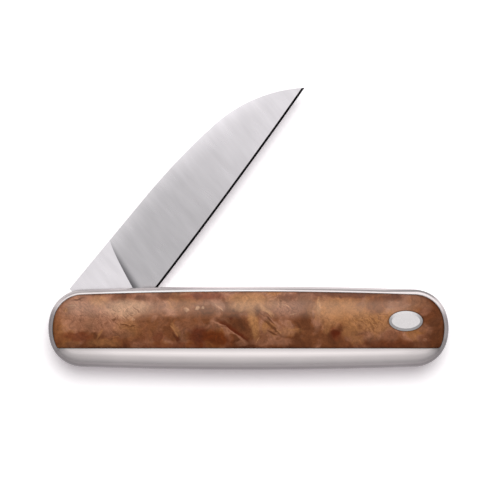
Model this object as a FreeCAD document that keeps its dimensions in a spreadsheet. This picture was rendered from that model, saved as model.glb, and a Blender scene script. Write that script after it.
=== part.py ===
import FreeCAD, Part
import math
import os
import re
import Sketcher
from FreeCAD import Placement, Rotation, Vector

doc = FreeCAD.newDocument("folding_pocket_knife")
sheet = doc.addObject("Spreadsheet::Sheet", "sizes")

# Lengths in millimetres, angles in degrees.
size_table = [
    ("handle_length", "89.0"),
    ("handle_height", "18.54"),
    ("crown_radius", "1000.0"),
    ("end_share", "1.1866"),
    ("corner_share", "0.815"),
    ("frame_thickness", "3.95"),
    ("slot_width", "2.7"),
    ("rim_round", "2.4"),
    ("back_round", "3.5"),
    ("slot_break", "0.2"),
    ("inlay_rim", "1.0"),
    ("inlay_drop", "4.43"),
    ("inlay_depth", "2.4"),
    ("inlay_skirt", "0.6"),
    ("inlay_corner", "0.8"),
    ("inlay_gap", "0.1"),
    ("pivot_inset", "8.8"),
    ("barrel_diameter", "4.0"),
    ("running_gap", "0.03"),
    ("screw_diameter", "2.5"),
    ("screw_head", "4.4"),
    ("screw_grip", "1.6"),
    ("drive_width", "1.5"),
    ("drive_depth", "0.8"),
    ("washer_diameter", "9.6"),
    ("washer_thickness", "0.1"),
    ("bushing_diameter", "6.0"),
    ("post_inset", "4.2"),
    ("blade_thickness", "2.44"),
    ("tip_inset", "8.45"),
    ("blade_angle", "53.6"),
    ("closed_angle", "6.5"),
    ("edge_drop", "7.0"),
    ("edge_belly", "0.35"),
    ("heel_reach", "13.6"),
    ("choil_reach", "12.0"),
    ("ricasso_reach", "6.5"),
    ("ricasso_drop", "6.0"),
    ("shoulder_reach", "4.0"),
    ("shoulder_round", "0.4"),
    ("spine_rise", "8.8"),
    ("spine_taper", "3.2"),
    ("spine_straight_share", "0.434"),
    ("spine_radius", "155.6"),
    ("spine_turn_share", "0.738"),
    ("flat_reach", "5.0"),
    ("cam_radius", "5.6"),
    ("kick_reach", "4.3"),
    ("grind_top", "8.06"),
    ("edge_half", "0.2"),
    ("apex_half", "0.02"),
    ("bevel_width", "0.5"),
    ("plunge_reach", "13.62"),
    ("plunge_slant", "20.2"),
    ("plunge_radius", "3.2"),
    ("nose_reach", "3.6"),
    ("pad_reach", "4.0"),
    ("neck_reach", "5.5"),
    ("neck_drop", "6.7"),
    ("neck_length", "17.0"),
    ("boss_reach", "40.0"),
    ("boss_half", "4.0"),
    ("boss_height", "5.07"),
    ("tail_reach", "50.0"),
    ("tail_height", "4.07"),
    ("block_depth", "7.6"),
    ("spring_recess", "0.35"),
    ("spring_blend", "1.5"),
    ("pin_height", "2.87"),
    ("pin_diameter", "2.0"),
    ("pin_seat", "0.9"),
    ("dowel_spread", "20.0"),
    ("dowel_rise", "2.0"),
    ("dowel_diameter", "1.5"),
    ("dowel_seat", "1.0"),
    ("shield_inset", "9.6"),
    ("shield_rise", "1.66"),
    ("shield_length", "7.5"),
    ("shield_width", "4.5"),
    ("shield_seat", "0.6"),
    ("shield_proud", "0.25"),
    ("shield_bevel", "0.3"),
    ("shield_pin_diameter", "1.0"),
    ("shield_pin_spread", "3.6"),
    ("shield_pin_length", "1.2"),
    ("overrun", "1.0"),
]
for row, (name, text) in enumerate(size_table, start=1):
    sheet.set("A%d" % row, name)
    sheet.set("B%d" % row, text)
    sheet.setAlias("B%d" % row, name)
doc.recompute()


def sized(text):
    # Writes the names of sizes in a formula as cells of the sheet.
    return re.sub(r"\[(\w+)\]", r"sizes.\1", text)


def value(text):
    return float(sheet.evalExpression(sized(text)))


def bind(item, **formulas):
    for prop, text in formulas.items():
        item.setExpression(prop.replace("__", "."), sized(text))
    return item


half_length = "([handle_length] / 2)"
half_height = "([handle_height] / 2)"
end_radius = "([end_share] * [handle_height] / 2)"
corner_radius = "([corner_share] * [handle_height] / 2)"
pin_y = "([pin_height] - [handle_height] / 2)"
boss_y = "([boss_height] - [handle_height] / 2)"
tail_y = "([tail_height] - [handle_height] / 2)"
mid_plane = "([frame_thickness] + [slot_width] / 2)"
front_inner = "([frame_thickness] + [slot_width])"
front_outer = "(2 * [frame_thickness] + [slot_width])"
inlay_floor = "(2 * [frame_thickness] + [slot_width] - [inlay_depth])"
pivot_x = "([pivot_inset] - [handle_length] / 2)"
post_x = "([handle_length] / 2 - [post_inset])"
bore_radius = "([barrel_diameter] / 2 + [running_gap])"


def place(item, x="0", y="0", z="0"):
    bind(item, Placement__Base__x=x, Placement__Base__y=y, Placement__Base__z=z)
    return item


def cylinder(name, radius, height, x="0", y="0", z="0"):
    item = doc.addObject("Part::Cylinder", name)
    bind(item, Radius=radius, Height=height)
    return place(item, x, y, z)


def cone(name, low, high, height, x="0", y="0", z="0"):
    item = doc.addObject("Part::Cone", name)
    bind(item, Radius1=low, Radius2=high, Height=height)
    return place(item, x, y, z)


def fuse(name, shapes):
    item = doc.addObject("Part::MultiFuse", name)
    item.Shapes = shapes
    return item


def cut(name, base, tool):
    item = doc.addObject("Part::Cut", name)
    item.Base = base
    item.Tool = tool
    return item


def common(name, shapes):
    item = doc.addObject("Part::MultiCommon", name)
    item.Shapes = shapes
    return item


def mirror(name, source, height=mid_plane):
    item = doc.addObject("Part::Mirroring", name)
    item.Source = source
    item.Normal = Vector(0, 0, 1)
    bind(item, Base__z=height)
    return item


def extrude(name, sketch, forward, back="0"):
    item = doc.addObject("Part::Extrusion", name)
    item.Base = sketch
    item.DirMode = "Normal"
    item.Solid = True
    bind(item, LengthFwd=forward, LengthRev=back)
    return item


def hold(sketch, geometry, point, across, up):
    # Ties one point of a sketch to the origin by two formulas.
    for kind, text in (("DistanceX", across), ("DistanceY", up)):
        number = sketch.addConstraint(
            Sketcher.Constraint(kind, -1, 1, geometry, point, value(text)))
        sketch.setExpression("Constraints[%d]" % number, sized(text))


def radius_of(sketch, geometry, text):
    number = sketch.addConstraint(Sketcher.Constraint("Radius", geometry, value(text)))
    sketch.setExpression("Constraints[%d]" % number, sized(text))


def outline_sketch(name, inset, split=None):
    # The handle outline moved inward: two crowns, two ends, four corners, all tangent.
    # Split gives the drop at which the two corners by the back are divided. The top crown
    # is then drawn in short arcs, so that the mesh of the narrow rim stays even.
    sketch = doc.addObject("Sketcher::SketchObject", name)
    step = value(inset)
    crown = value("[crown_radius]")
    corner = value(corner_radius)
    end = value(end_radius)
    crown_centre = Vector(0, value(half_height) - crown, 0)
    end_centre = Vector(value(half_length) - end, 0, 0)
    span = (end_centre - crown_centre).Length
    along = (end_centre - crown_centre) / span
    side = Vector(along.y, -along.x, 0)
    run = (span ** 2 + (crown - corner) ** 2 - (end - corner) ** 2) / (2 * span)
    rise = math.sqrt((crown - corner) ** 2 - run ** 2)
    options = [crown_centre + along * run + side * rise, crown_centre + along * run - side * rise]
    centre = max(options, key=lambda point: point.x)
    upper = crown_centre + (centre - crown_centre).normalize() * (crown - step)
    outer = end_centre + (centre - end_centre).normalize() * (end - step)
    tip = Vector(value(half_length) - step, 0, 0)
    top = Vector(0, value(half_height) - step, 0)

    def turned(across, up):
        return lambda point: Vector(point.x * across, point.y * up, 0)

    def bend(first, second):
        return centre + ((first - centre) + (second - centre)).normalize() * (corner - step)

    def crown_arcs(stops):
        arcs = []
        for first, second in zip(stops, stops[1:]):
            middle = (first - crown_centre) + (second - crown_centre)
            arcs.append(("crown", first, crown_centre + middle.normalize() * (crown - step), second))
        return arcs

    def corner_arcs(turn, stops):
        return [("corner", turn(first), turn(bend(first, second)), turn(second))
                for first, second in zip(stops, stops[1:])]

    back_stops = [upper, outer]
    if split:
        drop = value(split)
        reach = math.sqrt((corner - step) ** 2 - (drop - centre.y) ** 2)
        back_stops = [upper, Vector(centre.x + reach, drop, 0), outer]
    right_top, left_top = turned(1, 1), turned(-1, 1)
    right_back, left_back = turned(1, -1), turned(-1, -1)
    marks = ["(%d * [handle_length] / 12)" % number for number in range(4, -5, -1)] if split else []
    top_stops = [right_top(upper)]
    for mark in marks:
        across = value(mark)
        top_stops.append(crown_centre + Vector(across, math.sqrt((crown - step) ** 2 - across ** 2), 0))
    top_stops.append(left_top(upper))
    chain = [("end", right_back(outer), tip, right_top(outer))]
    chain += corner_arcs(right_top, [outer, upper])
    chain += crown_arcs(top_stops)
    chain += corner_arcs(left_top, [upper, outer])
    chain += [("end", left_top(outer), left_top(tip), left_back(outer))]
    chain += corner_arcs(left_back, back_stops[::-1])
    chain += [("crown", left_back(upper), right_back(top), right_back(upper))]
    chain += corner_arcs(right_back, back_stops)
    kinds = [kind for kind, _, _, _ in chain]
    for _, start, middle, finish in chain:
        sketch.addGeometry(Part.Arc(start, middle, finish))
    for number, kind in enumerate(kinds):
        following = (number + 1) % len(kinds)
        sketch.addConstraint(Sketcher.Constraint("Tangent", number, 2, following, 1))
        if number != kinds.index(kind):
            sketch.addConstraint(Sketcher.Constraint("Equal", kinds.index(kind), number))
        if kind == "corner" and kinds[following] == "corner":
            level = sketch.addConstraint(
                Sketcher.Constraint("DistanceY", -1, 1, number, 2, -value(split)))
            sketch.setExpression("Constraints[%d]" % level, sized("-" + split))
        if kind == "crown" and kinds[following] == "crown":
            mark = marks[number - kinds.index("crown")]
            level = sketch.addConstraint(
                Sketcher.Constraint("DistanceX", -1, 1, number, 2, value(mark)))
            sketch.setExpression("Constraints[%d]" % level, sized(mark))
    for kind, radius in (("end", end_radius), ("corner", corner_radius), ("crown", "[crown_radius]")):
        radius_of(sketch, kinds.index(kind), radius + " - " + inset)
    right_end, left_end = [number for number, kind in enumerate(kinds) if kind == "end"]
    crowns = [number for number, kind in enumerate(kinds) if kind == "crown"]
    hold(sketch, right_end, 3, half_length + " - " + end_radius, "0")
    hold(sketch, left_end, 3, end_radius + " - " + half_length, "0")
    hold(sketch, crowns[0], 3, "0", half_height + " - [crown_radius]")
    hold(sketch, crowns[-1], 3, "0", "[crown_radius] - " + half_height)
    return sketch


def polygon_sketch(name, corners, bends={}):
    # Straight sides between the corners; a side named in bends is a left-turning arc.
    sketch = doc.addObject("Sketcher::SketchObject", name)
    points = [Vector(value(across), value(up), 0) for across, up in corners]
    for number, point in enumerate(points):
        finish = points[(number + 1) % len(points)]
        if number in bends:
            radius = value(bends[number])
            middle = (point + finish) / 2
            run = finish - point
            left = Vector(-run.y, run.x, 0).normalize()
            centre = middle + left * math.sqrt(radius ** 2 - (run.Length / 2) ** 2)
            sketch.addGeometry(Part.Arc(point, centre - left * radius, finish))
        else:
            sketch.addGeometry(Part.LineSegment(point, finish))
    for number, (across, up) in enumerate(corners):
        following = (number + 1) % len(points)
        sketch.addConstraint(Sketcher.Constraint("Coincident", number, 2, following, 1))
        hold(sketch, number, 1, across, up)
    for number, radius in bends.items():
        radius_of(sketch, number, radius)
    return sketch


def edges_where(shape, test):
    return [number for number, edge in enumerate(shape.Edges, start=1) if test(edge)]


def is_near(first, second):
    return abs(first - second) < value("[running_gap]") / 10


def upright_at(x, y):
    # Picks the upright edge that stands at one point of a plan.
    def test(edge):
        ends = [vertex.Point for vertex in edge.Vertexes]
        return len(ends) == 2 and all(
            is_near(end.x, value(x)) and is_near(end.y, value(y)) for end in ends)
    return test


def rounded(name, base, choices, kind="Part::Fillet"):
    item = doc.addObject(kind, name)
    item.Base = base
    item.Edges = choices
    return item


def bevelled(name, base, choices):
    return rounded(name, base, choices, "Part::Chamfer")


def level_edges(shape, height):
    def test(edge):
        return is_near(edge.BoundBox.ZMin, value(height)) and is_near(edge.BoundBox.ZMax, value(height))
    return edges_where(shape, test)


# Frames: one milled plate each side, small round at the rim, large round along the back.
corner_split = "([inlay_drop] + [inlay_skirt])"
plate_sketch = outline_sketch("plate_outline", "0", corner_split)
place(plate_sketch, z=front_inner)
plate = extrude("plate", plate_sketch, "[frame_thickness]")
doc.recompute()


def rim_radius(point):
    if point.y > -value(corner_split) - value("[running_gap]"):
        return value("[rim_round]")
    return value("[back_round]")


rim_edges = []
for number in level_edges(plate.Shape, front_outer):
    edge = plate.Shape.Edges[number - 1]
    first = edge.valueAt(edge.FirstParameter)
    last = edge.valueAt(edge.LastParameter)
    rim_edges.append((number, rim_radius(first), rim_radius(last)))
rim_plate = rounded("rim_plate", plate, rim_edges)
doc.recompute()
rounded_plate = bevelled("rounded_plate", rim_plate, [
    (number, value("[slot_break]"), value("[slot_break]"))
    for number in level_edges(rim_plate.Shape, front_inner)])


def inlay_block(name, inset, drop, height, corner):
    # Outline moved inward, cut straight along the back, its two new corners rounded.
    sketch = outline_sketch(name + "_outline", inset)
    place(sketch, z=inlay_floor)
    blank = extrude(name + "_blank", sketch, height)
    band = doc.addObject("Part::Box", name + "_band")
    bind(band, Length="[handle_length]", Width="[handle_height]", Height=height + " + 2 * [overrun]")
    place(band, "-[handle_length] / 2", "-[handle_height] - " + drop, inlay_floor + " - [overrun]")
    trimmed = cut(name + "_trimmed", blank, band)
    doc.recompute()

    def is_corner(edge):
        ends = [vertex.Point for vertex in edge.Vertexes]
        return len(ends) == 2 and all(is_near(end.y, -value(drop)) for end in ends) and (
            is_near(ends[0].x, ends[1].x))

    picks = edges_where(trimmed.Shape, is_corner)
    return rounded(name, trimmed, [(number, value(corner), value(corner)) for number in picks])


recess = inlay_block("inlay_recess", "[inlay_rim]", "[inlay_drop]",
                     "([inlay_depth] + [overrun])", "[inlay_corner]")
scale_blank = inlay_block("scale_blank", "([inlay_rim] + [inlay_gap])",
                          "([inlay_drop] - [inlay_gap])", "[inlay_depth]",
                          "([inlay_corner] - [inlay_gap])")

head_drop = "(([screw_head] - [screw_diameter]) / 2)"
barrel_seat = "([frame_thickness] - [inlay_depth] - %s)" % head_drop
frame_cuts = [recess]
for name, x in (("pivot", pivot_x), ("post", post_x)):
    frame_cuts.append(cone(
        name + "_countersink", "[screw_diameter] / 2 + [running_gap]",
        "[screw_head] / 2 + [running_gap]", head_drop,
        x, "0", inlay_floor + " - " + head_drop))
    frame_cuts.append(cylinder(
        name + "_barrel_seat", bore_radius, barrel_seat + " + [overrun]",
        x, "0", front_inner + " - [overrun]"))
pin_x = pivot_x + " + [boss_reach]"
frame_cuts.append(cylinder(
    "spring_pin_seat", "[pin_diameter] / 2 + [running_gap]", "[pin_seat] + [running_gap] + [overrun]",
    pin_x, pin_y, front_inner + " - [overrun]"))
for name, sign in (("front", "-"), ("rear", "")):
    frame_cuts.append(cylinder(
        name + "_dowel_seat", "[dowel_diameter] / 2 + [running_gap]",
        "[dowel_seat] + [running_gap] + [overrun]",
        sign + "[dowel_spread]", "[dowel_rise]",
        inlay_floor + " - [dowel_seat] - [running_gap]"))
front_frame = cut("front_frame", rounded_plate, fuse("frame_cuts", frame_cuts))
rear_frame = mirror("rear_frame", front_frame)

# Scales: burl inlays rounded over together with the frame, on two dowels each.
flush_scale = common("flush_scale", [scale_blank, rim_plate])
dowel_holes = []
dowels = []
for name, sign in (("front", "-"), ("rear", "")):
    x = sign + "[dowel_spread]"
    dowel_holes.append(cylinder(
        name + "_dowel_hole", "[dowel_diameter] / 2 + [running_gap]",
        "[dowel_seat] + [running_gap] + [overrun]", x, "[dowel_rise]", inlay_floor + " - [overrun]"))
    dowels.append(cylinder(
        name + "_dowel", "[dowel_diameter] / 2", "2 * [dowel_seat]",
        x, "[dowel_rise]", inlay_floor + " - [dowel_seat]"))
drilled_scale = cut("drilled_scale", flush_scale, fuse("dowel_holes", dowel_holes))
front_scale_dowels = fuse("front_scale_dowels", dowels)
rear_scale_dowels = mirror("rear_scale_dowels", front_scale_dowels)
rear_scale = mirror("rear_scale", drilled_scale)

# Shield: plain oval plate with a bevelled rim, let into the front scale on two pins.
shield_x = half_length + " - [shield_inset]"
shield_floor = "(2 * [frame_thickness] + [slot_width] - [shield_seat])"


def oval(name, grow, height, z):
    curve = doc.addObject("Part::Ellipse", name + "_curve")
    bind(curve, MajorRadius="[shield_length] / 2 + " + grow, MinorRadius="[shield_width] / 2 + " + grow)
    place(curve, shield_x, "[shield_rise]", z)
    item = doc.addObject("Part::Extrusion", name)
    item.Base = curve
    item.DirMode = "Normal"
    item.Solid = True
    bind(item, LengthFwd=height)
    return item


shield_blank = oval("shield_blank", "0", "[shield_seat] + [shield_proud]", shield_floor)
doc.recompute()
shield_face = shield_floor + " + [shield_seat] + [shield_proud]"
shield = bevelled("shield", shield_blank, [
    (number, value("[shield_bevel]"), value("2 * [shield_bevel]"))
    for number in level_edges(shield_blank.Shape, shield_face)])
shield_cuts = [oval("shield_recess", "[running_gap]", "[shield_seat] + [overrun]", shield_floor)]
shield_pin_list = []
for name, sign in (("left", " - "), ("right", " + ")):
    x = shield_x + sign + "[shield_pin_spread] / 2"
    shield_cuts.append(cylinder(
        name + "_shield_pin_hole", "[shield_pin_diameter] / 2 + [running_gap]",
        "[shield_pin_length] + [running_gap] + [overrun]", x, "[shield_rise]",
        shield_floor + " - [shield_pin_length] - [running_gap]"))
    shield_pin_list.append(cylinder(
        name + "_shield_pin", "[shield_pin_diameter] / 2", "[shield_pin_length]",
        x, "[shield_rise]", shield_floor + " - [shield_pin_length]"))
front_scale = cut("front_scale", drilled_scale, fuse("shield_cuts", shield_cuts))
shield_pins = fuse("shield_pins", shield_pin_list)

# Pivot and rear post: threaded barrels held by a countersunk screw from each side.
barrel_length = "([slot_width] + 2 * %s)" % barrel_seat
barrel_floor = "([frame_thickness] - %s)" % barrel_seat


def barrel(name, x):
    core = cylinder(name + "_core", "[barrel_diameter] / 2", barrel_length, x, "0", barrel_floor)
    bore = cylinder(name + "_bore", "[screw_diameter] / 2 + [running_gap]",
                    barrel_length + " + 2 * [overrun]", x, "0", barrel_floor + " - [overrun]")
    return cut(name, core, bore)


def countersunk_screw(name, x):
    head = cone(name + "_head", "[screw_diameter] / 2", "[screw_head] / 2", head_drop,
                x, "0", inlay_floor + " - " + head_drop)
    shank_foot = front_inner + " + " + barrel_seat + " - [screw_grip]"
    shank = cylinder(name + "_shank", "[screw_diameter] / 2",
                     head_drop + " + [screw_grip]", x, "0", shank_foot)
    drive = doc.addObject("Part::Prism", name + "_drive")
    drive.Polygon = 6
    bind(drive, Circumradius="[drive_width] / sqrt(3)", Height="[drive_depth] + [overrun]")
    place(drive, x, "0", inlay_floor + " - [drive_depth]")
    return cut(name, fuse(name + "_form", [head, shank]), drive)


pivot_barrel = barrel("pivot_barrel", pivot_x)
rear_post = barrel("rear_post", post_x)
front_pivot_screw = countersunk_screw("front_pivot_screw", pivot_x)
rear_pivot_screw = mirror("rear_pivot_screw", front_pivot_screw)
front_post_screw = countersunk_screw("front_post_screw", post_x)
rear_post_screw = mirror("rear_post_screw", front_post_screw)
washer_core = cylinder("washer_core", "[washer_diameter] / 2", "[washer_thickness]",
                       pivot_x, "0", front_inner + " - [washer_thickness]")
washer_hole = cylinder("washer_hole", bore_radius, "[washer_thickness] + 2 * [overrun]",
                       pivot_x, "0", front_inner + " - [washer_thickness] - [overrun]")
front_pivot_washer = cut("front_pivot_washer", washer_core, washer_hole)
rear_pivot_washer = mirror("rear_pivot_washer", front_pivot_washer)

# Back spring: nose lifted by the tang, boss on the centre pin, block closing the rear of the slot.
pad_drop = "([cam_radius] + [running_gap])"
below = "(-" + half_height + " - [overrun])"
above = "(" + half_height + " + [overrun])"
beyond = "(" + half_length + " + [overrun])"
block_x = half_length + " - [block_depth]"
neck_x = pivot_x + " + [neck_reach]"
spring_corners = [
    (pivot_x + " - [nose_reach]", below),
    (beyond, below),
    (beyond, above),
    (block_x, above),
    (block_x, tail_y),
    (pivot_x + " + [tail_reach]", tail_y),
    (pin_x + " + [boss_half]", boss_y),
    (pin_x + " - [boss_half]", boss_y),
    (neck_x + " + [neck_length]", "-[neck_drop]"),
    (neck_x, "-[neck_drop]"),
    (pivot_x + " + [pad_reach]", "-" + pad_drop),
    (pivot_x + " - [nose_reach]", "-" + pad_drop),
]
spring_sketch = polygon_sketch("spring_plan", spring_corners)
place(spring_sketch, z="[frame_thickness]")
spring_plan = extrude("spring_form", spring_sketch, "[slot_width]")
doc.recompute()
spring_edges = []
for x, y in (spring_corners[4], spring_corners[5], spring_corners[6],
             spring_corners[7], spring_corners[8]):
    for number in edges_where(spring_plan.Shape, upright_at(x, y)):
        spring_edges.append((number, value("[spring_blend]"), value("[spring_blend]")))
spring_shape = rounded("spring_shape", spring_plan, spring_edges)
spring_outline = outline_sketch("spring_outline", "[spring_recess]")
place(spring_outline, z="[frame_thickness]")
spring_blank = extrude("spring_blank", spring_outline, "[slot_width]")
spring_solid = doc.addObject("Part::Common", "spring_solid")
spring_solid.Base = spring_blank
spring_solid.Tool = spring_shape
spring_holes = [
    cylinder("spring_pin_hole", "[pin_diameter] / 2 + [running_gap]", "[slot_width] + 2 * [overrun]",
             pin_x, pin_y, "[frame_thickness] - [overrun]"),
    cylinder("spring_post_hole", bore_radius, "[slot_width] + 2 * [overrun]",
             post_x, "0", "[frame_thickness] - [overrun]"),
]
back_spring = cut("back_spring", spring_solid, fuse("spring_holes", spring_holes))
spring_centre_pin = cylinder("spring_centre_pin", "[pin_diameter] / 2", "[slot_width] + 2 * [pin_seat]",
                             pin_x, pin_y, "[frame_thickness] - [pin_seat]")

# Blade, drawn with the pivot at the origin and the edge along X, then swung to its rest angle.
blade_reach = "([handle_length] - [pivot_inset] - [tip_inset])"
spine_straight = "([spine_straight_share] * %s)" % blade_reach
spine_turn = "([spine_turn_share] * %s)" % blade_reach
blade_low = "(" + mid_plane + " - [blade_thickness] / 2)"
flat_half = "sqrt([cam_radius] ^ 2 - [flat_reach] ^ 2)"
open_tilt = "(90 - [spine_taper])"
closed_tilt = "(-90 - [closed_angle])"


def on_flat(tilt, along):
    # A point on a tang flat, measured along it from the foot of its normal.
    across = "[flat_reach] * cos(%s * 1 deg) + %s * sin(%s * 1 deg)" % (tilt, along, tilt)
    up = "[flat_reach] * sin(%s * 1 deg) - %s * cos(%s * 1 deg)" % (tilt, along, tilt)
    return across, up


open_rear = on_flat(open_tilt, "(-" + flat_half + ")")
closed_rear = on_flat(closed_tilt, flat_half)
kick = on_flat(closed_tilt, "(-[kick_reach])")
notch = on_flat(open_tilt, "[shoulder_reach]")
shoulder = tuple(
    "%s + ([spine_rise] - [flat_reach]) * %s(%s * 1 deg)" % (part, turn, open_tilt)
    for part, turn in zip(notch, ("cos", "sin")))
spine_fall = "%s * sin([spine_taper] * 1 deg)" % spine_straight
spine_end = (spine_straight, "([spine_rise] - %s) / cos([spine_taper] * 1 deg)" % spine_fall)
tip = (blade_reach, "-[edge_drop]")
heel = ("[heel_reach]", "-[edge_drop]")
chord = "(%s - [heel_reach])" % blade_reach
edge_radius = "(%s ^ 2 / (8 * [edge_belly]) + [edge_belly] / 2)" % chord


def spot(pair):
    return Vector(value(pair[0]), value(pair[1]), 0)


def blade_profile():
    sketch = doc.addObject("Sketcher::SketchObject", "blade_profile")
    taper = math.radians(value("[spine_taper]"))
    spine_radius = value("[spine_radius]")
    straight = spot(spine_end)
    centre = straight - Vector(math.sin(taper), math.cos(taper), 0) * spine_radius
    turn_x = value(spine_turn)
    turn = Vector(turn_x, centre.y + math.sqrt(spine_radius ** 2 - (turn_x - centre.x) ** 2), 0)
    inward = (centre - turn).normalize()
    to_tip = spot(tip) - turn
    drop_radius = to_tip.dot(to_tip) / (2 * to_tip.dot(inward))
    drop_centre = turn + inward * drop_radius

    def between(middle, radius, first, second):
        return middle + ((first - middle) + (second - middle)).normalize() * radius

    belly = (spot(tip) + spot(heel)) / 2 - Vector(0, value("[edge_belly]"), 0)
    cam_left = Vector(-value("[cam_radius]"), 0, 0)
    outline = [
        Part.LineSegment(spot(notch), spot(shoulder)),
        Part.LineSegment(spot(shoulder), straight),
        Part.Arc(straight, between(centre, spine_radius, straight, turn), turn),
        Part.Arc(turn, between(drop_centre, drop_radius, turn, spot(tip)), spot(tip)),
        Part.Arc(spot(tip), belly, spot(heel)),
        Part.LineSegment(spot(heel), spot(("[choil_reach]", "-[ricasso_drop]"))),
        Part.LineSegment(spot(("[choil_reach]", "-[ricasso_drop]")),
                         spot(("[ricasso_reach]", "-[ricasso_drop]"))),
        Part.LineSegment(spot(("[ricasso_reach]", "-[ricasso_drop]")), spot(kick)),
        Part.LineSegment(spot(kick), spot(closed_rear)),
        Part.Arc(spot(closed_rear), cam_left, spot(open_rear)),
        Part.LineSegment(spot(open_rear), spot(notch)),
        Part.Circle(Vector(0, 0, 0), Vector(0, 0, 1), value("[bushing_diameter] / 2")),
    ]
    for piece in outline:
        sketch.addGeometry(piece)
    # Clockwise arcs are stored turned round, so their two ends trade places.
    starts = [1, 1, 2, 2, 2, 1, 1, 1, 1, 2, 1]
    for number in range(len(starts)):
        following = (number + 1) % len(starts)
        kind = "Tangent" if number in (1, 2) else "Coincident"
        sketch.addConstraint(Sketcher.Constraint(
            kind, number, 3 - starts[number], following, starts[following]))
    hold(sketch, 0, 1, *notch)
    hold(sketch, 1, 1, *shoulder)
    hold(sketch, 1, 2, *spine_end)
    radius_of(sketch, 2, "[spine_radius]")
    reach = sketch.addConstraint(Sketcher.Constraint("DistanceX", -1, 1, 2, 1, value(spine_turn)))
    sketch.setExpression("Constraints[%d]" % reach, sized(spine_turn))
    hold(sketch, 3, 1, *tip)
    hold(sketch, 5, 1, *heel)
    radius_of(sketch, 4, edge_radius)
    hold(sketch, 6, 1, "[choil_reach]", "-[ricasso_drop]")
    hold(sketch, 7, 1, "[ricasso_reach]", "-[ricasso_drop]")
    hold(sketch, 8, 1, *kick)
    hold(sketch, 9, 2, *closed_rear)
    hold(sketch, 10, 1, *open_rear)
    radius_of(sketch, 9, "[cam_radius]")
    radius_of(sketch, 11, "[bushing_diameter] / 2")
    hold(sketch, 11, 3, "0", "0")
    return place(sketch, z=blade_low)


blade_plan = extrude("blade_plan", blade_profile(), "[blade_thickness]")
doc.recompute()
blade_blank = rounded("blade_blank", blade_plan, [
    (number, value("[shoulder_round]"), value("[shoulder_round]"))
    for number in edges_where(blade_plan.Shape, upright_at(*shoulder))])

# Flat grind from the edge to the spine, ending in a slanted plunge with a rounded root.
slope = "(([blade_thickness] / 2 - [edge_half]) / ([grind_top] + [edge_drop]))"
lean = math.tan(math.radians(value("[plunge_slant]")))
wheel = Vector(lean, 1, value(slope)).normalize()
facing = Vector(0, -value(slope), 1).normalize()
toward_tip = wheel.cross(facing)
grind_turn = Rotation(toward_tip, facing, wheel * -1, "XYZ")
grind_sketch = polygon_sketch("grind_section", [
    ("-[plunge_radius]", "[plunge_radius]"),
    ("0", "0"),
    (blade_reach, "0"),
    (blade_reach, "[blade_thickness] + [plunge_radius]"),
    ("-[plunge_radius]", "[blade_thickness] + [plunge_radius]"),
], {0: "[plunge_radius]"})
grind_sketch.Placement = Placement(Vector(0, 0, 0), grind_turn)
place(grind_sketch, "[plunge_reach]", "-[edge_drop]", mid_plane + " + [edge_half]")
front_grind = extrude("front_grind", grind_sketch, "[handle_height]", "2 * [handle_height]")
rear_grind = mirror("rear_grind", front_grind)

# Edge bevel: a narrow second grind that follows the belly of the edge.
edge_low = "(-[edge_drop] - [edge_belly])"
bevel_top = "(%s + [bevel_width])" % edge_low
bevel_half = "([edge_half] + %s * ([bevel_width] - [edge_belly]))" % slope
bevel_slope = "((%s - [apex_half]) / [bevel_width])" % bevel_half
bevel_sketch = polygon_sketch("bevel_section", [
    (bevel_top, bevel_half),
    (bevel_top, bevel_half + " + [overrun]"),
    (edge_low + " - [overrun]", bevel_half + " + [overrun]"),
    (edge_low + " - [overrun]", "[apex_half] - %s * [overrun]" % bevel_slope),
])
bevel_sketch.Placement = Placement(
    Vector(0, 0, 0), Rotation(Vector(0, 1, 0), Vector(0, 0, 1), Vector(1, 0, 0), "XYZ"))
edge_middle = "(%s + [heel_reach]) / 2" % blade_reach
place(bevel_sketch, edge_middle, "0", mid_plane)
front_bevel = doc.addObject("Part::Revolution", "front_bevel")
front_bevel.Source = bevel_sketch
front_bevel.Axis = Vector(0, 0, 1)
front_bevel.Solid = True
front_bevel.Symmetric = True
bind(front_bevel, Base__x=edge_middle, Base__y=edge_low + " + " + edge_radius,
     Angle="(%s + 4 * [overrun]) / %s * 180 / pi" % (chord, edge_radius))
rear_bevel = mirror("rear_bevel", front_bevel)
blade = cut("blade", blade_blank, fuse("blade_grinds", [
    front_grind, rear_grind, front_bevel, rear_bevel]))
bind(blade, Placement__Rotation__Angle="[blade_angle]")
place(blade, pivot_x)
bushing_core = cylinder("bushing_core", "[bushing_diameter] / 2", "[blade_thickness]",
                        pivot_x, "0", blade_low)
bushing_bore = cylinder("bushing_bore", bore_radius, "[blade_thickness] + 2 * [overrun]",
                        pivot_x, "0", blade_low + " - [overrun]")
pivot_bushing = cut("pivot_bushing", bushing_core, bushing_bore)

doc.recompute()
for item in doc.Objects:
    if "Invalid" in item.State or "Error" in item.State:
        raise RuntimeError("not built: " + item.Name)

nodes = [
    front_frame, rear_frame, front_scale, rear_scale, front_scale_dowels, rear_scale_dowels,
    shield, shield_pins, blade, pivot_bushing, front_pivot_washer, rear_pivot_washer,
    pivot_barrel, front_pivot_screw, rear_pivot_screw, back_spring, spring_centre_pin,
    rear_post, front_post_screw, rear_post_screw,
]
os.makedirs("parts", exist_ok=True)
for node in nodes:
    if node.Shape.isNull() or not node.Shape.isValid():
        raise RuntimeError("bad shape: " + node.Name)
    node.Label = node.Name
    node.Shape.exportStep("parts/%s.step" % node.Label)
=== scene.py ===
import math

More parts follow.
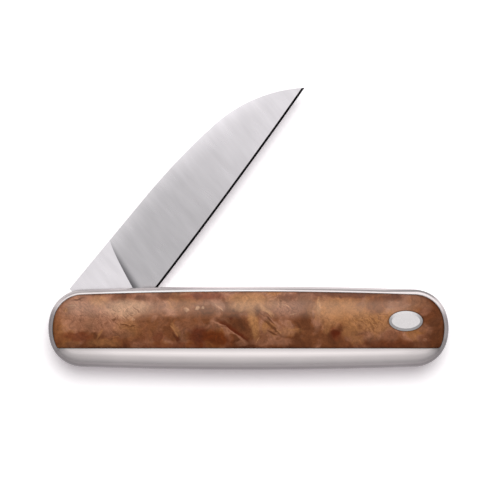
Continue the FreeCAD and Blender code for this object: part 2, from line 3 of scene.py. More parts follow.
import bpy
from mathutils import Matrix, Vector


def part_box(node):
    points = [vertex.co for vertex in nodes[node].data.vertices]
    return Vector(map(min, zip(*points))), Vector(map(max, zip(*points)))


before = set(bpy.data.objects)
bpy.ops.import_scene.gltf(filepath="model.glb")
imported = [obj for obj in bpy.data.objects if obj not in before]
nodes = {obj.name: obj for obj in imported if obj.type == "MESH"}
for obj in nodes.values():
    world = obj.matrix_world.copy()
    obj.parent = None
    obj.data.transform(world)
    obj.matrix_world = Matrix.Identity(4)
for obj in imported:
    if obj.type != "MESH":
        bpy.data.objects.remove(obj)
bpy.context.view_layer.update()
scene = bpy.context.scene
mm = 0.001  # every object is in metres, every size below in millimetres
noiseMiddle = 0.5
noiseSpan = {"From Min": 0.3, "From Max": 0.7}  # most values of a noise lie in here
pairSpan = {"From Min": 0.7, "From Max": 1.3}  # most values of two noises added
widePairSpan = {"From Min": 0.6, "From Max": 1.4}  # nearly all of them
print("frame loaded:", len(nodes), "nodes")


def linearColour(hexColour):
    shares = [int(hexColour[i:i + 2], 16) / 255 for i in (1, 3, 5)]
    linear = [c / 12.92 if c <= 0.04045 else ((c + 0.055) / 1.055) ** 2.4 for c in shares]
    return linear + [1.0]


# a value is written to the node's input, a socket is linked to it
def setInputs(tree, node, inputs):
    for name, value in inputs.items():
        if isinstance(value, bpy.types.NodeSocket):
            tree.links.new(value, node.inputs[name])
        else:
            node.inputs[name].default_value = value


# adds one node with its settings and links; stops are a ramp's places and colours
def addNode(tree, kind, inputs=None, stops=None, **settings):
    node = tree.nodes.new("ShaderNode" + kind)
    for name, value in settings.items():
        setattr(node, name, value)
    setInputs(tree, node, inputs or {})
    if stops:
        ramp = node.color_ramp
        while len(ramp.elements) < len(stops):
            ramp.elements.new(1.0)
        for element, (place, colour) in zip(ramp.elements, stops):
            element.position = place
            element.color = linearColour(colour)
    return node


# share of a band that starts, is full, fades and ends at the four values given
def addBand(tree, value, band, blend="LINEAR"):
    start, full, fading, end = band
    share = 1.0
    for outside, inside in ((start, full), (end, fading)):
        step = addNode(tree, "MapRange", {"Value": value, "From Min": outside, "From Max": inside},
                       interpolation_type=blend)
        share = addNode(tree, "Math", {0: share, 1: step.outputs[0]}, operation="MULTIPLY").outputs[0]
    return share


# the normal as the piece itself has it, so that nothing changes when the piece turns
def addOwnNormal(tree):
    normal = addNode(tree, "NewGeometry").outputs["Normal"]
    return addNode(tree, "VectorTransform", {"Vector": normal}, vector_type="NORMAL",
                   convert_from="WORLD", convert_to="OBJECT").outputs[0]


# a material with its shader and, in millimetres, the place on the piece
def startMaterial(name, values):
    material = bpy.data.materials.new(name)
    material.use_nodes = True
    tree = material.node_tree
    shader = tree.nodes["Principled BSDF"]
    setInputs(tree, shader, values)
    spot = addNode(tree, "TexCoord").outputs["Object"]
    place = addNode(tree, "VectorMath", {0: spot, "Scale": 1 / mm}, operation="SCALE").outputs[0]
    return material, tree, shader, place


def dress(material, *names):
    for name in names:
        nodes[name].material_slots[0].material = material
    print(material.name, "on", ", ".join(names))


# light, floor and camera come first: a white tent all round, and one soft lamp overhead

tent = {
    "axis": (-0.03, 0.50, 0.86),  # it is brightest overhead and behind
    "sideFall": 0.55,  # how much dimmer it is to the left and right
    "span": (-0.6, 1.0),  # height along the axis, from below the front edge to the brightest spot
    "stops": [(0.0, "#7F7F81"), (0.08, "#878789"), (0.28, "#9D9C9E"), (0.46, "#B3B2B3"),
              (0.66, "#B4B3B4"), (0.735, "#BEBDBE"), (0.79, "#D2D1D2"), (0.85, "#ECEBEC"),
              (0.915, "#FDFCFC"), (1.0, "#FFFFFF")],
    "level": 1.55,
    "mattShare": 0.28,  # matt surfaces get this share from the tent and the rest from the lamp
}


def makeTent(look):
    world = bpy.data.worlds.new("softTent")
    world.use_nodes = True
    scene.world = world
    tree = world.node_tree
    tree.nodes.clear()
    direction = addNode(tree, "TexCoord").outputs["Generated"]
    axis = Vector(look["axis"]).normalized()
    height = addNode(tree, "VectorMath", {0: direction, 1: axis}, operation="DOT_PRODUCT").outputs["Value"]
    aside = addNode(tree, "SeparateXYZ", {0: direction}).outputs["X"]
    squared = addNode(tree, "Math", {0: aside, 1: aside}, operation="MULTIPLY").outputs[0]
    lowered = addNode(tree, "Math", {0: squared, 1: -look["sideFall"], 2: height},
                      operation="MULTIPLY_ADD").outputs[0]
    low, high = look["span"]
    share = addNode(tree, "MapRange", {"Value": lowered, "From Min": low, "From Max": high}).outputs[0]
    grey = addNode(tree, "ValToRGB", {"Fac": share}, look["stops"]).outputs[0]
    matt = addNode(tree, "LightPath").outputs["Is Diffuse Ray"]
    level = look["level"]
    strength = addNode(tree, "MapRange", {"Value": matt, "To Min": level,
                                          "To Max": level * look["mattShare"]}).outputs[0]
    glow = addNode(tree, "Background", {"Color": grey, "Strength": strength}).outputs[0]
    addNode(tree, "OutputWorld", {"Surface": glow})
    world.cycles.sampling_method = "NONE"  # so that each ray knows its kind
    print("tent made")


keyLamp = {
    "comesFrom": (0.05, 0.35, 0.94),  # from overhead and a little behind
    "spread": 36.0,  # degrees across, so shadows are soft and stay close
    "level": 2.28,
}


def makeKeyLamp(look):
    light = bpy.data.lights.new("keyLamp", "SUN")
    light.angle = math.radians(look["spread"])
    light.energy = look["level"]
    lamp = bpy.data.objects.new("keyLamp", light)
    lamp.rotation_euler = (-Vector(look["comesFrom"])).to_track_quat("-Z", "Y").to_euler()
    lamp.visible_glossy = False  # metal mirrors the even tent, not the lamp
    scene.collection.objects.link(lamp)
    print("lamp made")


# floor: a sheet of matt white paper, with no gloss of its own
paperSheet = {
    "colour": "#FDFDFD",
    "farColour": "#A6A6A6",  # the sheet falls off to grey outside the picture
    "middle": (0.0, 18.0, 0.0),
    "fall": (85.0, 220.0),  # distance from the middle where that starts and is full
    "glow": 0.28,  # seen or mirrored, it is a little whiter, so that its shadow stays close to the knife
    "glowColour": "#FFF2F8",  # shadows on this paper are faintly mauve
    "half": 1500.0,
    "drop": 0.05,  # it lies just under the knife
}


def makeFloor(look):
    half = look["half"] * mm
    mesh = bpy.data.meshes.new("floor")
    corners = [(-half, -half, 0), (half, -half, 0), (half, half, 0), (-half, half, 0)]
    mesh.from_pydata(corners, [], [(0, 1, 2, 3)])
    floor = bpy.data.objects.new("floor", mesh)
    floor.location.z = -look["drop"] * mm
    scene.collection.objects.link(floor)
    paper = bpy.data.materials.new("mattWhitePaper")
    paper.use_nodes = True
    tree = paper.node_tree
    tree.nodes.clear()
    spot = addNode(tree, "TexCoord").outputs["Object"]
    far = addNode(tree, "VectorMath", {0: spot, 1: Vector(look["middle"]) * mm},
                  operation="DISTANCE").outputs["Value"]
    near, end = look["fall"]
    fall = addNode(tree, "MapRange", {"Value": far, "From Min": near * mm, "From Max": end * mm},
                   interpolation_type="SMOOTHSTEP").outputs[0]
    tone = addNode(tree, "Mix", {"Factor": fall, 6: linearColour(look["colour"]),
                                 7: linearColour(look["farColour"])}, data_type="RGBA").outputs[2]
    matt = addNode(tree, "BsdfDiffuse", {"Color": tone}).outputs[0]
    ray = addNode(tree, "LightPath").outputs
    seen = ray["Is Camera Ray"]
    for kind in ("Is Glossy Ray", "Is Transmission Ray"):
        seen = addNode(tree, "Math", {0: seen, 1: ray[kind]}, operation="MAXIMUM").outputs[0]
    glow = addNode(tree, "Math", {0: seen, 1: look["glow"]}, operation="MULTIPLY").outputs[0]
    tinted = addNode(tree, "Mix", {"Factor": 1.0, 6: tone, 7: linearColour(look["glowColour"])},
                     data_type="RGBA", blend_type="MULTIPLY").outputs[2]
    white = addNode(tree, "Emission", {"Color": tinted, "Strength": glow}).outputs[0]
    sheet = addNode(tree, "AddShader", {0: matt, 1: white}).outputs[0]
    addNode(tree, "OutputMaterial", {"Surface": sheet})
    mesh.materials.append(paper)
    print("floor made")


camera = {
    "place": (0.0, 17.85, 810.6),  # straight above, the picture's middle is between blade and handle
    "lens": 261.4,
    "sensor": 36.0,
    "clipStart": 10.0,
}


def makeCamera(look):
    lens = bpy.data.cameras.new("camera")
    lens.lens = look["lens"]
    lens.sensor_width = look["sensor"]
    lens.clip_start = look["clipStart"] * mm
    holder = bpy.data.objects.new("camera", lens)
    holder.location = Vector(look["place"]) * mm
    scene.collection.objects.link(holder)
    scene.camera = holder
    scene.view_settings.view_transform = "Standard"
    print("camera made")


makeTent(tent)
makeKeyLamp(keyLamp)
makeFloor(paperSheet)
makeCamera(camera)


# the wood's outline, which frames and scales share: a shallow crown between two round corners
woodOutline = {
    "corner": (36.78, 1.05),  # middle of the corner's round, the other one is its mirror
    "radius": 6.55,
    "crown": 1000.0,  # radius of the long top edge
}


# distance from that outline, more than zero on the steel and less on the wood
def addWoodGap(tree, aside, height):
    cornerX, cornerY = woodOutline["corner"]
    bow = 0.5 / woodOutline["crown"]
    inner = addNode(tree, "Math", {0: aside, 1: cornerX}, operation="MINIMUM").outputs[0]
    square = addNode(tree, "Math", {0: inner, 1: inner}, operation="MULTIPLY").outputs[0]
    sag = addNode(tree, "Math", {0: square, 1: bow, 2: height}, operation="MULTIPLY_ADD").outputs[0]
    risen = addNode(tree, "Math", {0: sag, 1: cornerY + bow * cornerX ** 2}, operation="SUBTRACT").outputs[0]
    risen = addNode(tree, "Math", {0: risen, 1: 0.0}, operation="MAXIMUM").outputs[0]
    beyond = addNode(tree, "Math", {0: aside, 1: inner}, operation="SUBTRACT").outputs[0]
    corner = addNode(tree, "CombineXYZ", {"X": beyond, "Y": risen}).outputs[0]
    reach = addNode(tree, "VectorMath", {0: corner}, operation="LENGTH").outputs["Value"]
    return addNode(tree, "Math", {0: reach, 1: woodOutline["radius"]}, operation="SUBTRACT").outputs[0]


# frame plates: stainless steel, bead blasted and tumbled, a soft grey sheen with no grain lines
framePlates = {
    "colour": "#DED7D6",
    "sideShadeColour": "#807A7C",  # painted shade: the ends and the back, where the normal leans over, are drawn in a darker steel than the face
    "sideShadeLean": (0.94, 0.48),  # upright share of the normal where this painted shade starts and is full
    "slotSide": (0.15, 0.5, 0.25),  # less of this painted shade on the slot's side: lean at start and full, and what is kept
    "landEdge": (-4.4, -5.6),  # painted shade: the back's flat is drawn darker along the wood
    "landTop": -4.2,
    "landShadeTone": 0.68,
    "landEnds": (39.5, 43.0),  # this painted shade fades out towards the handle's ends
    "leftEnd": (-29.5, -41.0, 0.77),  # painted shade: both ends are drawn darker too: start, full and tone
    "leftTop": (0.0, 5.0),  # going up, it fades out here
    "rightEnd": (34.0, 42.0, 0.78),
    "rightTop": (-5.2, -1.5),
    "lipHighlight": (0.0, 0.12, 0.2, 0.32),  # painted highlight: a narrow lip along the wood is drawn brighter, by distance from it
    "lipHighlightTone": 1.35,
    "lipHighlightFade": (2.6, 5.2),  # it ends on the way down to the handle's middle
    "shadeLine": (0.28, 0.4, 0.5, 0.7),  # and a dark line of painted shade beside it
    "shadeLineTone": (-15.0, 38.0, 0.9, 0.3),  # it deepens towards the butt: start, full and tones
    "shadeLineFade": (5.8, 7.4),
    "bladeShadeLine": (-12.0, -17.0),  # and again beside the blade
    "bladeShadeLineTone": 0.72,
    "buttReach": (30.0, 38.0, 1.8),  # the painted lip highlight and dark line widen towards the butt: start, full and how much
    "cornerRim": (0.45, 0.8),  # painted shade: the rim's outer edge is drawn darker round the top left corner
    "cornerReach": (-33.0, -37.0),
    "cornerHeight": (1.5, 4.5),
    "cornerShadeTone": 0.76,
    "rimHighlight": (-33.0, -25.0, -10.0, 10.0),  # painted highlight: the rim is drawn brighter here
    "rimHighlightLean": (0.1, 0.5),
    "rimHighlightTone": 1.5,
    "roughness": (0.34, 0.44),
    "grit": 0.16,  # blasting grit marks are near 0.05 mm, drawn coarser so that they show
    "patch": 6.0,  # they lie in soft patches
    "gritTone": (0.96, 1.04),
    "bumpHeight": 0.004,
    "bumpStrength": 0.35,
}


def makeFrameSteel(look):
    material, tree, shader, place = startMaterial("beadBlastedStainlessSteel", {"Metallic": 1.0})
    spot = addNode(tree, "SeparateXYZ", {0: place}).outputs
    height = spot["Y"]
    aside = addNode(tree, "Math", {0: spot["X"]}, operation="ABSOLUTE").outputs[0]
    lean = addNode(tree, "SeparateXYZ", {0: addOwnNormal(tree)}).outputs
    upright = addNode(tree, "Math", {0: lean["Z"]}, operation="ABSOLUTE").outputs[0]
    # grit and its patches
    grit = addNode(tree, "TexNoise", {"Vector": place, "Scale": 1 / look["grit"], "Detail": 2.0}).outputs[0]
    patch = addNode(tree, "TexNoise", {"Vector": place, "Scale": 1 / look["patch"], "Detail": 3.0}).outputs[0]
    both = addNode(tree, "Math", {0: grit, 1: patch}, operation="ADD").outputs[0]
    low, high = look["roughness"]
    rough = addNode(tree, "MapRange", {"Value": both, **pairSpan, "To Min": low, "To Max": high}).outputs[0]
    dark, light = look["gritTone"]
    tone = addNode(tree, "MapRange", {"Value": both, **widePairSpan, "To Min": dark,
                                      "To Max": light}).outputs[0]
    # painted shade: both ends are drawn darker, and so is the back's flat along the wood
    ends = [(look["leftEnd"], look["leftTop"], "LINEAR"), (look["rightEnd"], look["rightTop"], "SMOOTHSTEP")]
    for (start, full, endTone), (bottom, top), blend in ends:
        dull = addNode(tree, "MapRange", {"Value": spot["X"], "From Min": start, "From Max": full,
                                          "To Min": 1.0, "To Max": endTone}).outputs[0]
        upper = addNode(tree, "MapRange", {"Value": height, "From Min": bottom, "From Max": top},
                        interpolation_type=blend).outputs[0]
        dull = addNode(tree, "Math", {0: dull, 1: upper}, operation="MAXIMUM").outputs[0]
        tone = addNode(tree, "Math", {0: tone, 1: dull}, operation="MULTIPLY").outputs[0]
    edge, clear = look["landEdge"]
    land = addNode(tree, "MapRange", {"Value": height, "From Min": edge, "From Max": clear,
                                      "To Min": look["landShadeTone"]}, interpolation_type="SMOOTHSTEP").outputs[0]
    start, full = look["landEnds"]
    ended = addNode(tree, "MapRange", {"Value": aside, "From Min": start, "From Max": full}).outputs[0]
    above = addNode(tree, "Math", {0: height, 1: look["landTop"]}, operation="GREATER_THAN").outputs[0]
    for other in (ended, above):
        land = addNode(tree, "Math", {0: land, 1: other}, operation="MAXIMUM").outputs[0]
    tone = addNode(tree, "Math", {0: tone, 1: land}, operation="MULTIPLY").outputs[0]
    # the painted lip highlight and the painted dark line follow the wood
    start, full, wider = look["buttReach"]
    wide = addNode(tree, "MapRange", {"Value": spot["X"], "From Min": start, "From Max": full,
                                      "To Min": 1.0, "To Max": wider}).outputs[0]
    gap = addNode(tree, "Math", {0: addWoodGap(tree, aside, height), 1: wide}, operation="DIVIDE").outputs[0]
    stripes = []
    for band, (bottom, top) in ((look["lipHighlight"], look["lipHighlightFade"]), (look["shadeLine"], look["shadeLineFade"])):
        upper = addNode(tree, "MapRange", {"Value": height, "From Min": bottom, "From Max": top}).outputs[0]
        stripe = addNode(tree, "Math", {0: addBand(tree, gap, band), 1: upper}, operation="MULTIPLY")
        stripes.append(stripe.outputs[0])
    lipHighlight, shadeLine = stripes
    start, full, shallow, deep = look["shadeLineTone"]
    deepening = addNode(tree, "MapRange", {"Value": spot["X"], "From Min": start, "From Max": full,
                                           "To Min": shallow - 1, "To Max": deep - 1}).outputs[0]
    # each painted highlight and painted shade: its share, what narrows it, and by how much it changes the
    # tone
    marks = [
        (lipHighlight, [], look["lipHighlightTone"] - 1),
        (shadeLine, [], deepening),
        (shadeLine, [(spot["X"], look["bladeShadeLine"])], look["bladeShadeLineTone"] - 1),
        (1.0, [(gap, look["cornerRim"]), (spot["X"], look["cornerReach"]), (height, look["cornerHeight"])],
         look["cornerShadeTone"] - 1),
        (addBand(tree, spot["X"], look["rimHighlight"]), [(lean["Y"], look["rimHighlightLean"])],
         look["rimHighlightTone"] - 1),
    ]
    for share, limits, change in marks:
        for value, (start, full) in limits:
            step = addNode(tree, "MapRange", {"Value": value, "From Min": start, "From Max": full})
            share = addNode(tree, "Math", {0: share, 1: step.outputs[0]}, operation="MULTIPLY").outputs[0]
        factor = addNode(tree, "Math", {0: share, 1: change, 2: 1.0}, operation="MULTIPLY_ADD").outputs[0]
        tone = addNode(tree, "Math", {0: tone, 1: factor}, operation="MULTIPLY").outputs[0]
    # the painted side shade leaves out the painted lip highlight
    start, full = look["sideShadeLean"]
    side = addNode(tree, "MapRange", {"Value": upright, "From Min": start, "From Max": full},
                   interpolation_type="SMOOTHSTEP").outputs[0]
    start, full, kept = look["slotSide"]
    slotSide = addNode(tree, "MapRange", {"Value": lean["Y"], "From Min": start, "From Max": full,
                                          "To Min": 1.0, "To Max": kept}).outputs[0]
    outsideLipHighlight = addNode(tree, "Math", {0: 1.0, 1: lipHighlight}, operation="SUBTRACT").outputs[0]
    for share in (slotSide, outsideLipHighlight):
        side = addNode(tree, "Math", {0: side, 1: share}, operation="MULTIPLY").outputs[0]
    steel = addNode(tree, "Mix", {"Factor": side, 6: linearColour(look["colour"]),
                                  7: linearColour(look["sideShadeColour"])}, data_type="RGBA").outputs[2]
    colour = addNode(tree, "VectorMath", {0: steel, "Scale": tone}, operation="SCALE").outputs[0]
    bump = addNode(tree, "Bump", {"Height": grit, "Strength": look["bumpStrength"],
                                  "Distance": look["bumpHeight"] * mm}).outputs[0]
    setInputs(tree, shader, {"Base Color": colour, "Roughness": rough, "Normal": bump})
    return material


dress(makeFrameSteel(framePlates), "front_frame", "rear_frame")


# blade: stainless steel, flat ground across its width, fine scratch lines from edge to spine
bladeGrind = {
    "pivot": (-35.7, 0.0, 5.3),
    "turn": 53.6,  # degrees from the handle's line to the blade's
    "heelColour": "#A6A4A6",
    "tipColour": "#C9C6C9",
    "fade": (25.0, 70.0),  # painted light: the grind is drawn darker at the heel and lighter towards the tip, from heel to tip, measured from the pivot
    "tangColour": "#C4C1C4",  # painted light: the flat tang is drawn brighter than the grind
    "tangFlat": (0.9985, 0.9997),  # only the tang lies so flat, so its normal picks it out
    "plungeShadeColour": "#737274",  # painted shade: the wheel's round wall at the heel is drawn dark
    "plungeLean": (0.04, 0.5),  # how much it faces the tip
    "plungeFlat": (0.5, 0.65),
    # painted reflection: the honed edge is drawn near black, as it mirrors the dark
    "honedReflectionColour": "#161617",
    "honedLean": (0.22, 0.29),  # the honed edge leans over more than the grind does
    "honedHeight": (-3.0, -3.4),  # and lies this far below the pivot
    "roughness": (0.26, 0.36),
    # belt lines are near 0.08 mm apart, drawn wider so that they show: spacing, length and depth
    "line": (0.3, 14.0, 5.0),
    "cloud": 5.0,
    "lineTone": (0.96, 1.04),
    "streak": (1.7, 9.0, 20.0),  # width, length and depth of the belt's softer, lighter passes
    "streakTurn": -14.0,  # degrees they lean from the blade's width
    "streakTone": (0.95, 1.06),
    "spineLine": (8.84, 0.056, 30.0, 0.003),  # height at the pivot, fall, and where and how it curls down
    "spineReach": 5.0,
    "spineHighlight": 0.3,  # painted highlight: the grind is drawn brighter towards the spine
    "bumpHeight": 0.0025,
    "bumpStrength": 0.3,
}


def makeBladeSteel(look):
    material, tree, shader, place = startMaterial("satinGroundStainlessSteel", {"Metallic": 1.0})
    turn = math.radians(look["turn"])
    along = addNode(tree, "Mapping", {"Vector": place, "Location": look["pivot"], "Rotation": (0, 0, turn)},
                    vector_type="TEXTURE").outputs[0]
    spot = addNode(tree, "SeparateXYZ", {0: along}).outputs
    ownNormal = addOwnNormal(tree)
    lean = addNode(tree, "SeparateXYZ", {0: ownNormal}).outputs
    upright = addNode(tree, "Math", {0: lean["Z"]}, operation="ABSOLUTE").outputs[0]
    # belt lines, clouds and softer passes
    across = addNode(tree, "Mapping", {"Vector": along, "Scale": look["line"]},
                     vector_type="TEXTURE").outputs[0]
    lines = addNode(tree, "TexNoise", {"Vector": across, "Scale": 1.0, "Detail": 3.0}).outputs[0]
    cloud = addNode(tree, "TexNoise", {"Vector": along, "Scale": 1 / look["cloud"], "Detail": 4.0}).outputs[0]
    both = addNode(tree, "Math", {0: lines, 1: cloud}, operation="ADD").outputs[0]
    slanted = addNode(tree, "Mapping", {"Vector": along, "Scale": look["streak"],
                                        "Rotation": (0, 0, math.radians(look["streakTurn"]))},
                      vector_type="TEXTURE").outputs[0]
    streak = addNode(tree, "TexNoise", {"Vector": slanted, "Scale": 1.0, "Detail": 2.0}).outputs[0]
    low, high = look["roughness"]
    rough = addNode(tree, "MapRange", {"Value": both, **pairSpan, "To Min": low, "To Max": high}).outputs[0]
    tone = 1.0
    for value, span, (dark, light) in ((both, widePairSpan, look["lineTone"]),
                                       (streak, noiseSpan, look["streakTone"])):
        swing = addNode(tree, "MapRange", {"Value": value, **span, "To Min": dark,
                                           "To Max": light}).outputs[0]
        tone = addNode(tree, "Math", {0: tone, 1: swing}, operation="MULTIPLY").outputs[0]
    # painted highlight: brighter towards the spine, but not on the tang
    low, high = look["tangFlat"]
    tang = addNode(tree, "MapRange", {"Value": upright, "From Min": low, "From Max": high}).outputs[0]
    ground = addNode(tree, "Math", {0: 1.0, 1: tang}, operation="SUBTRACT").outputs[0]
    top, fall, start, curl = look["spineLine"]
    past = addNode(tree, "Math", {0: spot["X"], 1: start}, operation="SUBTRACT").outputs[0]
    past = addNode(tree, "Math", {0: past, 1: 0.0}, operation="MAXIMUM").outputs[0]
    bow = addNode(tree, "Math", {0: past, 1: past}, operation="MULTIPLY").outputs[0]
    under = spot["Y"]
    for value, drop in ((bow, curl), (spot["X"], fall)):
        under = addNode(tree, "Math", {0: value, 1: drop, 2: under}, operation="MULTIPLY_ADD").outputs[0]
    near = addNode(tree, "MapRange", {"Value": under, "From Min": top - look["spineReach"],
                                      "From Max": top}).outputs[0]
    glow = near
    for share in (near, ground):
        glow = addNode(tree, "Math", {0: glow, 1: share}, operation="MULTIPLY").outputs[0]
    spine = addNode(tree, "Math", {0: glow, 1: look["spineHighlight"], 2: 1.0},
                    operation="MULTIPLY_ADD").outputs[0]
    tone = addNode(tree, "Math", {0: tone, 1: spine}, operation="MULTIPLY").outputs[0]
    # painted shade on the plunge, which faces the tip, and a painted dark reflection on the honed edge, which
    # faces away from the spine
    picks = [((math.cos(turn), math.sin(turn), 0), look["plungeLean"], upright, look["plungeFlat"]),
             ((math.sin(turn), -math.cos(turn), 0), look["honedLean"], spot["Y"], look["honedHeight"])]
    shares = []
    for facing, leaning, value, limits in picks:
        toward = addNode(tree, "VectorMath", {0: ownNormal, 1: facing}, operation="DOT_PRODUCT")
        share = 1.0
        for measure, (start, full) in ((toward.outputs["Value"], leaning), (value, limits)):
            step = addNode(tree, "MapRange", {"Value": measure, "From Min": start, "From Max": full})
            share = addNode(tree, "Math", {0: share, 1: step.outputs[0]}, operation="MULTIPLY").outputs[0]
        shares.append(share)
    plunge, honed = shares
    heel, tip = look["fade"]
    fade = addNode(tree, "MapRange", {"Value": spot["X"], "From Min": heel, "From Max": tip},
                   interpolation_type="SMOOTHSTEP").outputs[0]
    steel = linearColour(look["heelColour"])
    for share, name in ((fade, "tipColour"), (tang, "tangColour"), (plunge, "plungeShadeColour")):
        steel = addNode(tree, "Mix", {"Factor": share, 6: steel, 7: linearColour(look[name])},
                        data_type="RGBA").outputs[2]
    steel = addNode(tree, "VectorMath", {0: steel, "Scale": tone}, operation="SCALE").outputs[0]
    colour = addNode(tree, "Mix", {"Factor": honed, 6: steel, 7: linearColour(look["honedReflectionColour"])},
                     data_type="RGBA").outputs[2]
    bump = addNode(tree, "Bump", {"Height": lines, "Strength": look["bumpStrength"],
                                  "Distance": look["bumpHeight"] * mm}).outputs[0]
    setInputs(tree, shader, {"Base Color": colour, "Roughness": rough, "Normal": bump})
    return material


dress(makeBladeSteel(bladeGrind), "blade")


